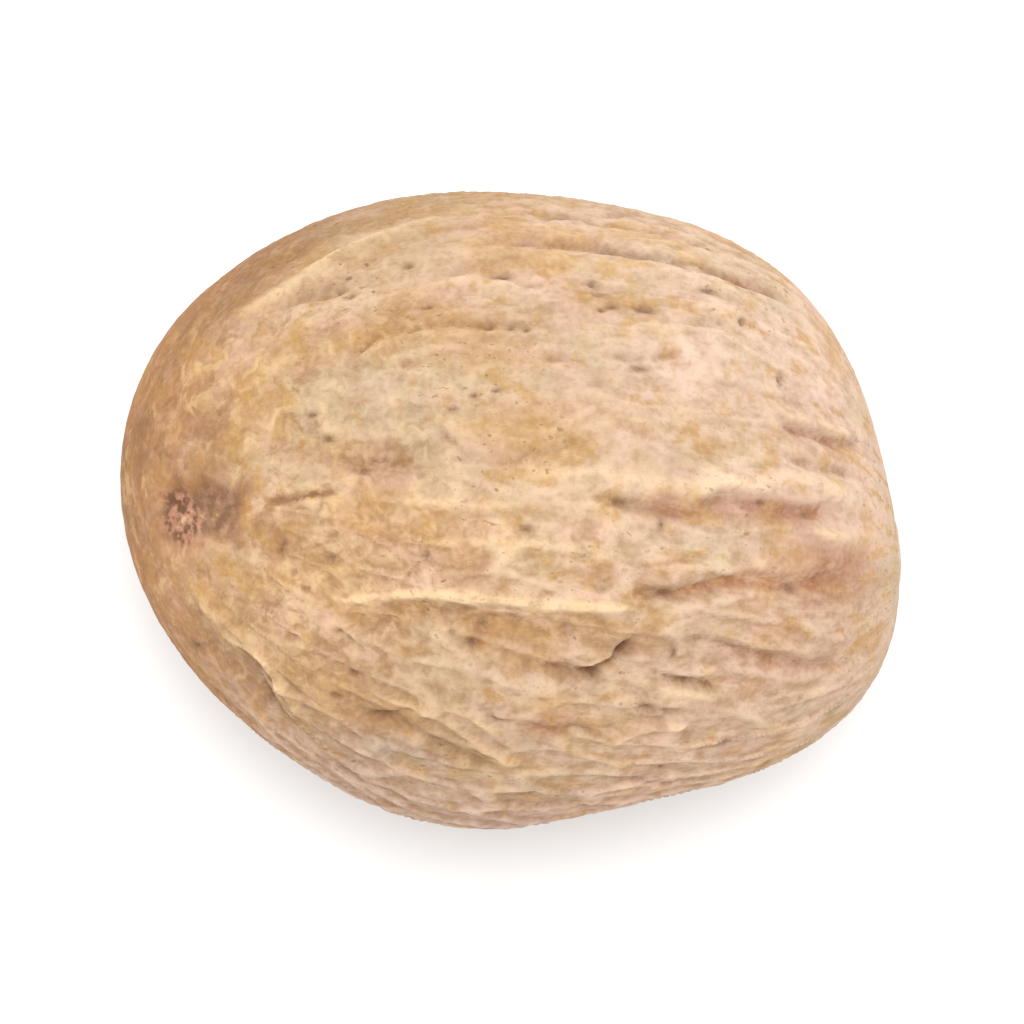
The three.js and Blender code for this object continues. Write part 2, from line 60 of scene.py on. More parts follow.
# millimetres and degrees; colours as the eye reads them, 0 to 255
nutmeg = dict(
    steps=128,                                # quads along each edge of the six-sided grid
    body=dict(
        halfLength=12.95, halfWidth=10.3, halfHeight=9.75,
        flatDepth=0.3,                        # how deep the resting flat cuts into the underside
        corners=[(4, 0.0207, -25.6), (5, 0.0177, -23.6), (6, 0.0084, -22.0)],   # count, share, place
        cornerFade=1.5,                       # how soon the corners die away above and below the rim
        lumpSize=7.0, lumpHeight=0.35, lumpSeed=5,
        girthRadius=10.2,                     # turns degrees round the middle into millimetres
        grainWay=unit((-0.970, 0, 0.242)),
    ),
    folds=dict(
        wander=[(20, 7, 3.4, 11), (34, 11, 1.5, 12)],      # cells, rows, degrees, seed
        creaseWander=0.35, fineWander=0.6,                 # the share of it that creases and fibres take
        swell=(14, 4, 0.18, 24),                           # cells, rows, height, seed
        net=dict(cells=50, rows=8, height=0.14, crest=0.26, floor=0.32, seed=21),
        fineNet=dict(cells=104, rows=34, height=0.06, crest=0.32, floor=0.3, seed=22),
        fibre=(150, 80, 0.024, 23),                        # cells, rows, height, seed
        pebble=(0.32, 0.022, 27),                          # size, height, seed
        patches=(9, 3, 0.6, 0.6, 41),                      # cells, rows, least, spread, seed
        breaks=(60, 26, 69),                               # cells, rows, seed: gaps in the fine creases
        breakMean=0.95, breakSpread=1.1, breakLeast=0.3, breakMost=1.5,
        stainEdge=(40, 16, 51),                            # cells, rows, seed: ragged edges of stains
        clearNear=16, clearFull=46,                        # folds fade towards both scars
        strongFrom=-8, strongTo=176, strongBlend=22,       # turns between which they are strongest
        faintShare=0.3, broadShare=0.75,                   # the other side's share, and at the broad end
        broadFrom=90, broadTo=132,                         # where it grows from one to the other
        rimFrom=112, rimTo=136, rimShare=0.5,              # the smoother upper part of the broad rim
        fineFrom=48, fineTo=80, fineBeforeEnd=(34, 64),    # where the fine net grows, and dies away again
        fineFaint=0.9, fineStrong=0.22,                    # its share on the faint and the strong side
        fineBroad=(95, 125, 0.25),                         # from, to, and how much weaker at the broad end
        crestFrom=40, crestTo=84,                          # where the net's crests become pale
    ),
    creases=[
        # height (below zero for a crease), half width, how rusty its floor is, [(along, turn), ...]
        # long pale ridge and the hollow under it
        (0.3, 0.26, 0, [(48, 29), (53, 25.3), (57, 23), (63, 20.5), (70, 19.3), (82, 18.2), (94, 16.8),
                        (100, 15.8)]),
        (-0.2, 0.45, 0, [(55, 30.4), (63, 26), (70, 24), (82, 22.7), (89, 22.7), (95, 21)]),
        # crown ridge and the wavy furrow beside it
        (0.16, 0.32, 0, [(77, -7), (95, -7), (109, -7.5), (113, -10.5), (122, -11), (127, -13.3),
                         (141, -13.2)]),
        (-0.22, 0.22, 0.3, [(91, -3.5), (105, -2.5), (109, -3), (113, -6.2), (117, -7.2), (126, -5),
                            (130, -5), (135, -7.8)]),
        # deep furrow, the hook, and the furrow beyond it
        (-0.3, 0.26, 1, [(102, 13.2), (107, 13.1), (115, 10.2), (119, 8.6), (124, 8), (130, 9.7),
                         (138, 7)]),
        (-0.26, 0.22, 0, [(86, 30.2), (90, 31), (98, 31), (100, 27), (103, 22.2)]),
        (-0.28, 0.24, 0.2, [(112, 22), (116, 22), (120, 23), (126, 25), (130, 25.5), (140, 29)]),
        # slanting ridge and furrow low on the strong side
        (0.2, 0.2, 0, [(61, 47.7), (69, 46.6), (75, 48), (79, 50.8), (83, 52.5), (88, 55.5)]),
        (-0.2, 0.24, 0, [(60, 55), (62, 53.1), (66, 52.3), (74, 54.6), (84, 57.8)]),
        # ridge and hollow round the narrow end
        (0.14, 0.24, 0, [(26, 59), (32, 58), (38, 56), (45, 63), (49, 67)]),
        (-0.14, 0.6, 0, [(28, 77), (32, 74), (37, 68), (43, 71), (51, 76)]),
        # shoulder furrow with its ridge, and the ridge over the narrow end on the faint side
        (-0.18, 0.24, 0, [(74, -60), (90, -58.6), (103, -57), (119, -54), (125, -57)]),
        (0.12, 0.3, 0, [(80, -54.5), (96, -53), (111, -51.5), (118, -50)]),
        (0.14, 0.3, 0, [(33, -65), (37, -64), (44, -67.6), (51, -70), (62, -71)]),
        # wide hollow behind the chalaza
        (-0.12, 0.5, 0, [(39, -7), (45, -6), (51, -5.8), (59, -7)]),
    ],
    fineCreases=[
        (-0.24, 0.15, 0, [(31, 8.5), (34, 6), (37, 3.5), (43, 1)]),            # crease from the scar
        # the hook's and the deep furrow's soft sides, and the ridges along them
        (-0.1, 0.34, 0, [(86, 30), (90, 31), (98, 31), (100, 27), (103, 22)]),
        (-0.05, 0.44, 0.5, [(107, 13), (115, 10), (119, 8.5), (124, 8), (130, 9.5), (138, 7)]),
        (0.1, 0.16, 0, [(87, 29), (92, 30), (96, 29.5), (99, 26.5)]),
        (0.1, 0.2, 0, [(104, 11), (109, 8.5), (116, 6), (122, 5), (128, 6), (134, 3.5)]),
        (0.1, 0.18, 0, [(114, 20), (121, 21), (126, 22.5), (132, 23.5), (140, 28)]),
        # short creases and ridges beside the hook
        (-0.24, 0.16, 0, [(110, 30), (114, 31), (118, 31.5)]),
        (0.14, 0.16, 0, [(106, 32), (112, 32.5), (118, 33.5)]),
        (-0.22, 0.16, 0, [(107, 36.5), (111, 37), (115, 37.5)]),
        (0.12, 0.15, 0, [(103, 35.5), (109, 35), (114, 35)]),
        (-0.18, 0.16, 0, [(102, 43.5), (106, 41), (109, 39.5), (113, 39)]),
        (0.14, 0.16, 0, [(104, 47), (107, 44), (111, 42), (115, 40.5)]),
        (-0.14, 0.16, 0, [(88, 45.5), (93, 44.5), (99, 44)]),
        (-0.16, 0.16, 0, [(107, 58.5), (110, 57.5), (117, 59.5), (123, 64)]),
        (-0.16, 0.16, 0, [(91, 69), (97, 68.5), (104, 69.5), (111, 73.5)]),
        (-0.14, 0.16, 0, [(74, 41), (79, 43), (82, 45)]),
        (0.14, 0.16, 0, [(77, 44.5), (81, 47), (86, 51)]),
        (-0.12, 0.16, 0, [(67, 58), (75, 59)]),
        (-0.14, 0.17, 0, [(60, 56), (62, 53.5), (66, 47.5)]),
        (-0.13, 0.17, 0, [(77, 66), (84, 65.5)]),
        (-0.14, 0.18, 0, [(108, 59), (115, 60.5), (124, 67.5), (131, 69)]),
        (0.09, 0.16, 0, [(49, 33), (52, 35), (54, 39)]),
        # the ridge round the narrow end and the dark hollow beside it
        (0.11, 0.17, 0, [(26, 61), (32, 63), (39, 57), (44, 62), (47, 66.5)]),
        (-0.18, 0.24, 0, [(37, 63.5), (40, 64), (43, 69), (47, 75)]),
        (-0.12, 0.16, 0, [(60, 77), (67, 77), (72, 75)]),
        # arcs round the dent, and the short creases of the faint side
        (-0.13, 0.18, 0, [(45, -32), (47, -37), (50, -39), (58, -38.5), (64, -38.5), (69, -37),
                          (76, -36.5)]),
        (0.09, 0.16, 0, [(47, -33), (50, -35), (55, -36), (61, -35.5), (67, -34.5)]),
        (0.09, 0.17, 0, [(61, -17), (66, -13), (75, -12), (84, -16), (89, -20)]),
        (-0.16, 0.2, 0, [(61, -15), (64, -10.5), (67, -8), (73, -8), (78, -10), (85, -13)]),
        (0.09, 0.16, 0, [(56, -47.5), (62, -50), (68, -50.5), (74, -47.5), (80, -44)]),
        (-0.15, 0.17, 0, [(64, -52.5), (67, -53), (70, -52.5), (75, -50), (78, -47)]),
        (-0.11, 0.17, 0, [(58, -45), (62, -46.5), (67, -47), (72, -44.5), (77, -41), (81, -40)]),
        (-0.12, 0.16, 0, [(45, -30), (48, -30.5), (53, -29.5), (58, -30.5)]),
        (-0.14, 0.16, 0, [(57, -20.5), (60, -19.5), (63, -18.5)]),
        (-0.18, 0.17, 0, [(94, -31), (98, -31), (103, -32.5)]),
        (-0.15, 0.17, 0, [(81, -29.5), (86, -30.5), (90, -30)]),
        (-0.16, 0.16, 0, [(90, -48), (92, -46), (95, -45.5)]),
        (-0.16, 0.17, 0, [(107, -39.5), (113, -41.5)]),
        # lines running over the broad end's rim, and the wavy furrow's darker part
        (0.12, 0.16, 0, [(133, -2), (141, -2), (150, -5)]),
        (-0.19, 0.18, 0.3, [(126, -23.5), (132, -24.5), (138, -25.5), (142, -27), (147, -32.5)]),
        (0.09, 0.16, 0, [(126, -26), (131, -27), (137, -28.5), (142, -31)]),
        (-0.16, 0.18, 0, [(126, -30), (131, -31.5), (139, -35)]),
        (-0.18, 0.18, 0, [(129, -17), (136, -18), (143, -20)]),
        (-0.14, 0.26, 0.6, [(122, -7), (125, -6), (127, -7), (131, -5.5), (137, -7.5)]),
        (0.1, 0.16, 0, [(110, -6), (112, -9), (116, -10), (122, -9.5), (126, -9), (130, -9)]),
        # the shoulder furrow's sharp middle, and the line beyond it
        (-0.17, 0.18, 0.2, [(78, -60.5), (90, -60), (101, -58), (107, -58), (116, -55.5), (126, -57)]),
        (-0.16, 0.2, 0, [(82, -68.5), (88, -71.5), (95, -69), (108, -68.5), (115, -63)]),
        # bands and lines behind the chalaza
        (-0.1, 0.24, 0, [(42, -10.5), (50, -10.5), (58, -10.5)]),
        (-0.12, 0.22, 0, [(43, -6), (50, -6.5), (58, -7.5)]),
        (0.1, 0.18, 0, [(55, 2), (60, 1), (66, 1.5), (72, 0.5), (78, -0.5), (84, 0)]),
        (-0.14, 0.17, 0, [(66, 3.5), (71, 3.5), (77, 3.5)]),
        # ridge, hollow and crease round the narrow end on the faint side
        (0.08, 0.26, 0, [(27, -66), (32, -63), (36, -61.5), (39, -62), (42, -65), (46, -67.5),
                         (51, -69.5), (60, -68.5)]),
        (-0.14, 0.4, 0, [(28, -89.5), (32, -85.5), (36, -83), (41, -79.5)]),
        (-0.24, 0.18, 0, [(35, -58.5), (39, -56.5), (44, -55.5)]),
        (-0.12, 0.2, 0, [(46, -58.5), (49, -61), (52, -63)]),
        (-0.12, 0.2, 0, [(76, -73), (93, -71), (108, -81)]),
    ],
    creaseFade=6.0, fineFade=3.0,             # degrees over which they die away past their ends
    # the fine creases' extra darkening is partly painted shade
    fineInkAndShade=1.25,                             # how much more the fine ones are coloured for their height
    dents=[(0.10, 77, -19, 13, 9.5)],         # depth; along, turn, half length, half width in degrees
    scars=dict(
        chalazaWay=unit((-0.872, -0.111, 0.478)),
        reach=12.0,                           # from the middle of the body to the scars
        # the chalaza's two bowls: millimetres up and across from its middle, half sizes that way
        bowls=[(-0.80, 0.34, 0.90, 0.95), (0.92, 0.08, 1.10, 1.00)],
        bowlSoftness=0.3, bowlDepth=0.15, bowlRagged=(14, 0.35, 32),     # cells, share, seed
        lipHeight=0.06, lipAt=1.7, lipWidth=0.45,          # the last two in half sizes of a bowl
        haloReach=1.5,                        # the brown halo, in half sizes of a bowl
        crustHeight=0.07, crustGrain=[(30, 1, 31), (62, 0.6, 33)],       # cells, share, seed
        discRadius=2.1, discRim=0.45, discHeight=0.22, discRagged=(6, 0.18, 34),
        discCrust=0.03, poreRadius=0.2, poreDepth=0.5,
    ),
    stains=dict(
        # amount; along, turn, half length and half width in degrees
        ochre=[
            (0.8, 78, -16, 11, 5.6), (0.75, 92, 39, 5, 3.9), (0.6, 71, -30, 10, 2.8),
            (0.55, 46, -38, 22, 5.4), (0.5, 41, -74, 24, 8.7), (0.55, 47, 56, 18, 10.7),
            (0.85, 80, 24, 15, 2.7), (0.6, 83, 56, 14, 3.8), (0.6, 62, 9, 6, 2.5), (0.5, 42, 21, 10, 7.9),
            (0.5, 25, -20, 6, 9), (0.6, 68, 49.5, 8, 3), (0.4, 47, -63, 8, 5), (0.4, 28, 58, 9, 10),
            (0.5, 31, 37, 6, 6),
        ],
        brown=[
            (0.4, 38, 15, 4, 5), (0.6, 102, 24, 9, 2), (0.5, 72, 51, 14, 2.2), (0.45, 34, 20, 3, 5),
            (0.5, 48, -6, 12, 3.4), (0.35, 73, -37, 12, 4.8), (0.35, 94, -45, 9, 5),
            (0.55, 11, 117, 2.2, 46), (0.5, 5, -96, 2.6, 74), (0.5, 19, -16, 3, 11.6),
            (0.6, 105, 12, 4, 1.7), (0.4, 28, -73, 12, 8.2), (0.4, 68, 15, 8, 2.2), (0.35, 79, 1, 7, 2),
            # the wide one at 46, -92 along the upper-left rim is partly a stain, partly painted shadow
            (0.45, 35, 21, 2.5, 5), (0.45, 39, 71, 12, 7), (0.35, 46, -92, 26, 14),
            (0.5, 44, -57, 12, 2.5), (0.45, 38, -80, 12, 5), (0.35, 54, -44, 10, 3),
            (0.4, 58, -62, 8, 2.5), (0.8, 92, 31, 6, 1.5), (0.6, 101, 25, 2.5, 2.5),
            (0.6, 113, 37.5, 6, 1.6), (0.4, 144, 9, 9, 7), (0.4, 32, 44, 2.2, 8), (0.35, 27, 50, 2, 6),
            (0.45, 30, 87, 3, 6), (0.45, 17, -30, 6, 16), (0.45, 59, 54, 7, 3), (0.45, 72, -55, 16, 2.2),
            (0.35, 59, -67, 12, 3), (0.4, 50, -10.5, 10, 1.6), (0.4, 50, -6, 9, 1.6), (0.4, 26, 66, 7, 8),
        ],
        pale=[
            (0.6, 45, -56, 24, 5), (0.5, 60, -33, 14, 2.3), (0.45, 59, 41, 16, 3.2),
            (0.55, 61, 5, 14, 3.3), (0.45, 104, -20, 20, 3.1), (0.5, 90, -9, 18, 2.5),
            (0.55, 40, -64, 14, 3), (0.4, 56, -69, 10, 3), (0.35, 50, -48, 12, 3),
            (0.45, 29.5, 47, 1.4, 6), (0.45, 82, 47, 6, 2.2), (0.5, 108, 33.5, 8, 1.8),
        ],
        warm=[
            (0.7, 69, 12, 5, 3), (0.65, 53, 10, 5, 3.1), (0.65, 58, 25, 5, 3.2), (0.45, 76, 24, 7, 3.6),
            (0.4, 37, -40, 12, 12.6),
        ],
        rust=[
            (0.5, 126, -6, 7, 3.0), (0.5, 105, -3, 6, 2.6), (0.5, 138, 7, 9, 6.5), (0.15, 134, -23, 8, 7),
            (0.3, 134, 26, 9, 6.1), (0.35, 91, 44, 4, 2.9), (0.6, 74, 27, 2.2, 1.9), (0.25, 139, 3, 7, 4),
            (0.3, 115, -4, 12, 2.6), (0.45, 16, -26, 5, 14), (0.45, 93, 43, 5, 2.6),
        ],
        ashen=[
            (0.6, 100, 64, 7, 5.1), (0.55, 69, 59, 9, 4.4), (0.35, 119, 50, 9, 6.6),
            (0.55, 68, 71, 16, 8.2), (0.5, 97, 80, 16, 9.1), (0.45, 88, 49, 9, 2.6), (0.4, 64, 62, 8, 4),
        ],
        sage=[
            (0.45, 110, -14, 10, 5.3), (0.3, 79, 2, 9, 3.7), (0.3, 119, -37, 9, 7.5),
            (0.6, 26, -5, 5, 8.9),
        ],
        cream=[
            (0.5, 118, -32, 26, 26),
        ],
        rosy=[
            (0.5, 128, 30, 22, 22), (0.25, 120, -28, 10, 7), (0.2, 140, -20, 8, 6),
        ],
        mauve=[
            (0.55, 66, 84, 26, 10), (0.6, 108, 88, 30, 14),
        ],
    ),
    tip=dict(
        # the narrow end's amber cap: length and height shares, where it fades, and its tint
        way=(-0.9, -0.42), fade=(0.34, 0.84), most=0.9, underShare=0.55, underFade=(-0.45, 0.05),
        tint=(0.89, 0.775, 0.65),
    ),
    tintsAndShades=[
        # red, green and blue shares; along, turn, half length and half width in degrees
        (1.03, 1.05, 1.15, 118, -28, 28, 30), (1.1, 1.1, 1.08, 78, 6, 16, 9),
        (1.06, 1.06, 1.06, 108, 4, 16, 12), (1.08, 1.06, 1.08, 118, 64, 16, 22),
        (1.03, 1.0, 1.11, 92, 82, 46, 20), (1.07, 1.03, 0.98, 36, 28, 24, 36),
        (1.05, 1.05, 1.04, 56, 11, 26, 12), (0.96, 0.95, 0.93, 62, 50, 24, 14),
        # the last two darken the upper rim: painted shadow
        (0.82, 0.8, 0.76, 38, -90, 32, 26), (0.9, 0.89, 0.88, 86, -84, 46, 16),
    ],
    pits=[
        # along and turn in degrees, half length and half width in millimetres
        (35, 21, 0.12, 0.28), (38, 27, 0.1, 0.13), (44, 19, 0.2, 0.14), (79, 4, 0.3, 0.12),
        (41, 30, 0.1, 0.08), (61, 13, 0.16, 0.12), (69, 28, 0.12, 0.1), (73, 29, 0.26, 0.2),
        (59, 86, 0.1, 0.1), (42, 62, 0.14, 0.2), (54, 46, 0.24, 0.1), (53, 54, 0.18, 0.12),
        (30, 84, 0.14, 0.22), (49, 37, 0.12, 0.1), (40, -12, 0.22, 0.15), (57, -57, 0.18, 0.13),
        (59, -44, 0.2, 0.08), (46, -52, 0.12, 0.1), (63, -19, 0.2, 0.08), (37, -19, 0.18, 0.1),
        (73, -50, 0.36, 0.1), (111, -49, 0.34, 0.14), (99, -42, 0.42, 0.14), (93, -42, 0.2, 0.08),
        (98, -29, 0.34, 0.13), (125, -34, 0.09, 0.24), (91, -45, 0.26, 0.08), (104, 0, 0.14, 0.16),
        (96, -3, 0.28, 0.14), (117, -44, 0.08, 0.18), (74, 25, 0.14, 0.12), (110, 24, 0.09, 0.22),
        (108, 37, 0.26, 0.1), (97, 31, 0.22, 0.13), (101, 25, 0.22, 0.16), (125, 47, 0.16, 0.16),
        (116, 55, 0.14, 0.09), (118, 31, 0.14, 0.09), (107, 13, 0.2, 0.1), (130, 10, 0.2, 0.12),
        (12, 25, 0.15, 0.26), (70, -37, 0.13, 0.1), (74, -37, 0.12, 0.09), (77, -36, 0.12, 0.08),
        (47, -4, 0.28, 0.12), (67, -22, 0.15, 0.09), (71, -23, 0.15, 0.09), (91, -41, 0.16, 0.08),
        (123, -7, 0.16, 0.09), (133, -6, 0.16, 0.08), (90, -48, 0.2, 0.09),
    ],
    pitDepth=0.11,
    tones=dict(
        base=(178, 149, 118), pale=(190, 163, 135), crest=(208, 183, 153), ridge=(216, 189, 150),
        straw=(204, 176, 130), cream=(202, 178, 154), rosy=(190, 158, 140), mauve=(180, 154, 138),
        sage=(176, 157, 125), ashen=(152, 133, 117), ochre=(170, 131, 76), warm=(170, 124, 76),
        amber=(160, 112, 66), brown=(141, 106, 71), rust=(142, 88, 60),
        # the hollow and furrow tones also darken the net's floors and the creases, where they are partly
        # painted shade
        hollowToneAndShade=(148, 115, 81), furrowToneAndShade=(120, 80, 52), dash=(108, 72, 46), halo=(132, 90, 58),
        crust=(84, 56, 42), crustPale=(170, 128, 106), crustGrey=(138, 106, 82),
        disc=(196, 166, 132), discPale=(206, 182, 150), pore=(80, 52, 34),
    ),
    bumpDistance=0.00012, bumpStrength=0.6,   # the first in metres
)


def gridHash(ix, iy, iz, seed):
    # repeatable 32-bit number for a corner of the grid: products of the indices, folded twice
    bits = (ix * 374761393 + iy * 668265263 + iz * 1440662683 + seed * 362437) & 0xFFFFFFFF
    bits = ((bits ^ (bits >> 13)) * 1274126177) & 0xFFFFFFFF
    return bits ^ (bits >> 16)


def hashShare(bits, place):
    # ten of the hash's bits as a number from 0 to 1
    return (bits >> 10 * place & 1023) / 1023


def gridNoise(x, y, z, seed):
    # gradient noise, about -1 to 1: each corner's slope times the way to it, blended by a fifth-power ease
    low = [np.floor(v).astype(np.int64) for v in (x, y, z)]
    part = [v - f for v, f in zip((x, y, z), low)]
    ease = [t * t * t * (t * (t * 6 - 15) + 10) for t in part]
    total = np.zeros_like(part[0])
    for corner in range(8):
        step = (corner & 1, corner >> 1 & 1, corner >> 2)
        bits = gridHash(low[0] + step[0], low[1] + step[1], low[2] + step[2], seed)
        weight = 1.0
        rise = 0.0
        for k in range(3):
            weight = weight * (ease[k] if step[k] else 1 - ease[k])
            rise = rise + (2 * hashShare(bits, k) - 1) * (part[k] - step[k])
        total += weight * rise
    return total * 1.4


def smooth(x, a, b):
    # 0 below a, 1 above b, 3t^2 - 2t^3 between
    t = np.clip((x - a) / (b - a), 0, 1)
    return t * t * (3 - 2 * t)


def frameOf(pole):
    # the directions across a pole: topmost, and sideways = topmost x pole
    top = unit(np.array([0, 0, 1.0]) - pole[2] * pole)
    return top, np.cross(top, pole)


def grainOf(way):
    # along = angle to the grain's pole, turn = bearing about it, 0 on top
    pole = nutmeg["body"]["grainWay"]
    top, side = frameOf(pole)
    along = np.arccos(np.clip(way @ pole, -1, 1))
    return along, np.arctan2(way @ side, way @ top)


def grainNoise(along, turn, cells, rows, seed):
    # noise on a drum: so many cells round it, so many rows from scar to scar
    girth = cells / (2 * np.pi)
    return gridNoise(girth * np.cos(turn), girth * np.sin(turn), along / np.pi * rows, seed)


def grainNet(along, turn, cells, rows, seed):
    # second nearest less nearest distance to a jittered grid of centres: 0 on the meshes' borders
    u = turn / (2 * np.pi) * cells
    v = along / np.pi * rows
    iu, iv = np.floor(u).astype(np.int64), np.floor(v).astype(np.int64)
    first = np.full_like(u, 9.0)
    second = np.full_like(u, 9.0)
    for i in (-1, 0, 1):
        for j in (-1, 0, 1):
            bits = gridHash((iu + i) % cells, iv + j, 0, seed)
            away = np.hypot(iu + i + 0.1 + 0.8 * hashShare(bits, 0) - u,
                            iv + j + 0.1 + 0.8 * hashShare(bits, 1) - v)
            second = np.minimum(second, np.maximum(first, away))
            first = np.minimum(first, away)
    return second - first


def bodyRadius(way):
    # ellipsoid radius times 1 + sum of share * cos(count * (bearing - place)), plus low lumps
    body = nutmeg["body"]
    x, y, z = way.T
    plain = 1 / np.sqrt((x / body["halfLength"])**2 + (y / body["halfWidth"])**2
                        + (z / body["halfHeight"])**2)
    bearing = np.arctan2(y, x)
    proud = sum(share * np.cos(count * (bearing - math.radians(at)))
                for count, share, at in body["corners"])
    spot = way * (plain / body["lumpSize"])[:, None]
    lump = gridNoise(*spot.T, body["lumpSeed"]) * body["lumpHeight"] * z * z
    return plain * (1 + proud * (1 - z * z)**body["cornerFade"]) + lump


def creaseHeight(along, turn, height, width, line, fade):
    # height * exp(-(distance to the line / width)^2), dying away past the line's ends
    a = np.degrees(along)
    lineAlong, lineTurn = np.array(line, float).T
    middle = sum(np.interp(a + s, lineAlong, lineTurn) for s in (-2, 0, 2)) / 3
    start = smooth(a, lineAlong[0] - fade, lineAlong[0] + fade / 2)
    end = 1 - smooth(a, lineAlong[-1] - fade / 2, lineAlong[-1] + fade)
    off = (np.degrees(turn) - middle + 180) % 360 - 180
    distance = np.radians(off) * nutmeg["body"]["girthRadius"] * np.sin(along)
    return height * start * end * np.exp(-(distance / width)**2)


def spotShare(along, turn, centre, halfSize):
    # exp(-(off along / half length)^2 - (off across / half width)^2), all in degrees
    offAlong = np.degrees(along) - centre[0]
    offTurn = (np.degrees(turn) - centre[1] + 180) % 360 - 180
    return np.exp(-(offAlong / halfSize[0])**2 - (offTurn / halfSize[1])**2)


def pitShare(along, turn):
    # 1 in the middle of each small pit; millimetres turned to degrees of each pit's own girth
    share = 0
    degree = math.radians(1) * nutmeg["body"]["girthRadius"]
    for pitAlong, pitTurn, halfLength, halfWidth in nutmeg["pits"]:
        size = (halfLength / degree, halfWidth / degree / math.sin(math.radians(pitAlong)))
        share = share + spotShare(along, turn, (pitAlong, pitTurn), size)
    return share


def scarRelief(along, way):
    # chalaza: two bowls with a crusty floor and a low lip; hilum: a flat disc with a pore
    s = nutmeg["scars"]
    top, side = frameOf(s["chalazaWay"])
    up, across = s["reach"] * (way @ top), s["reach"] * (way @ side)
    crust = sum(share * gridNoise(*(way * cells).T, seed) for cells, share, seed in s["crustGrain"])
    away = np.min([np.hypot((up - atUp) / halfUp, (across - atAcross) / halfAcross)
                   for atUp, atAcross, halfUp, halfAcross in s["bowls"]], 0)
    away = np.where(way @ s["chalazaWay"] > 0, away, 9.0)
    cells, share, seed = s["bowlRagged"]
    ragged = away * (1 + share * gridNoise(*(way * cells).T, seed))
    bowl = 1 - smooth(ragged, 1 - s["bowlSoftness"], 1 + s["bowlSoftness"])
    lip = np.exp(-((away - s["lipAt"]) / s["lipWidth"])**2)
    upperBowl = smooth(up - 0.3 * across, -0.15, 0.35)

    fromHilum = (math.pi - along) * s["reach"]
    cells, share, seed = s["discRagged"]
    discEdge = fromHilum * (1 + share * gridNoise(*(way * cells).T, seed))
    disc = 1 - smooth(discEdge, s["discRadius"] - s["discRim"], s["discRadius"] + s["discRim"])
    pore = np.exp(-(fromHilum / s["poreRadius"])**2)

    height = s["lipHeight"] * lip - s["bowlDepth"] * bowl
    height = height + s["crustHeight"] * crust * bowl * (1 - 0.6 * upperBowl)
    height = height + s["discHeight"] * disc + s["discCrust"] * crust * disc - s["poreDepth"] * pore
    halo = np.exp(-(ragged / s["haloReach"])**4) * (0.3 + 0.7 * smooth(0.6 * up - across, -1.2, 0.8))
    return height, dict(crust=bowl, crustSide=upperBowl, halo=halo, disc=disc, pore=pore)


def foldShares(along, turn):
    # how strong the folds are: clear of the scars * (faint side up to strong side) * patches,
    # and less over the rim; the fine net is strongest on the faint side
    f = nutmeg["folds"]
    a, t = np.degrees(along), np.degrees(turn)
    near, full = f["clearNear"], f["clearFull"]
    clear = smooth(a, near, full) * smooth(180 - a, near, full)
    strong = (smooth(t, f["strongFrom"], f["strongFrom"] + f["strongBlend"])
              * (1 - smooth(t, f["strongTo"] - f["strongBlend"], f["strongTo"])))
    cells, rows, least, spread, seed = f["patches"]
    patch = least + spread * np.clip(0.5 + 0.8 * grainNoise(along, turn, cells, rows, seed), 0, 1)
    faint = f["faintShare"] + (f["broadShare"] - f["faintShare"]) * smooth(a, f["broadFrom"], f["broadTo"])
    overRim = smooth(a, f["rimFrom"], f["rimTo"]) * (1 - strong)
    strength = clear * (faint + (1 - faint) * strong) * patch * (1 - f["rimShare"] * overRim)
    fineStrength = smooth(a, f["fineFrom"], f["fineTo"]) * smooth(180 - a, *f["fineBeforeEnd"])
    fineStrength = fineStrength * (f["fineFaint"] + (f["fineStrong"] - f["fineFaint"]) * strong)
    broadFrom, broadTo, weaker = f["fineBroad"]
    fineStrength = fineStrength * (1 - weaker * smooth(a, broadFrom, broadTo)) * (1 - f["rimShare"] * overRim)
    return strength, fineStrength, clear, overRim


def creaseRelief(along, turn, creased):
    # sum of the single creases and ridges, less the dents, and what colours them
    furrowToneAndShade = np.zeros_like(along)
    ridge = np.zeros_like(along)
    rusty = np.zeros_like(along)
    height = np.zeros_like(along)
    f = nutmeg["folds"]
    broken = f["breakMean"] + f["breakSpread"] * grainNoise(along, turn, *f["breaks"])
    broken = np.clip(broken, f["breakLeast"], f["breakMost"])
    groups = [(nutmeg["creases"], nutmeg["creaseFade"], 1, 1),
              (nutmeg["fineCreases"], nutmeg["fineFade"], nutmeg["fineInkAndShade"], broken)]
    for group, fade, inkAndShade, gaps in groups:
        for rise, width, rustShare, line in group:
            lift = creaseHeight(along, creased, rise, width, line, fade) * gaps
            height = height + lift
            # the darkening of a crease's floor by its depth is partly painted shade
            furrowToneAndShade = furrowToneAndShade + inkAndShade * np.clip(-lift, 0, None)
            rusty = rusty + inkAndShade * rustShare * np.clip(-lift, 0, None)
            ridge = ridge + inkAndShade * np.clip(lift, 0, None)
    for depth, dentAlong, dentTurn, halfLength, halfWidth in nutmeg["dents"]:
        height = height - depth * spotShare(along, turn, (dentAlong, dentTurn), (halfLength, halfWidth))
    return height, furrowToneAndShade, ridge, rusty


def tipShare(way):
    # the narrow end's cap: eased along a slanting direction, and weaker on the underside
    tip = nutmeg["tip"]
    reach = tip["way"][0] * way[:, 0] + tip["way"][1] * way[:, 2]
    under = tip["underShare"] + (1 - tip["underShare"]) * smooth(way[:, 2], *tip["underFade"])
    return tip["most"] * smooth(reach, *tip["fade"]) * under


def stainMasks(along, turn, shift):
    # each tone's share: sum of its spots, with ragged edges
    ragged = 1 + 0.6 * grainNoise(along, turn + shift, *nutmeg["folds"]["stainEdge"])
    masks = {}
    for name, spots in nutmeg["stains"].items():
        share = sum(amount * spotShare(along, turn, (atAlong, atTurn), (halfLength, halfWidth)) * ragged
                    for amount, atAlong, atTurn, halfLength, halfWidth in spots)
        masks[name] = np.clip(share, 0, 1)
    return masks


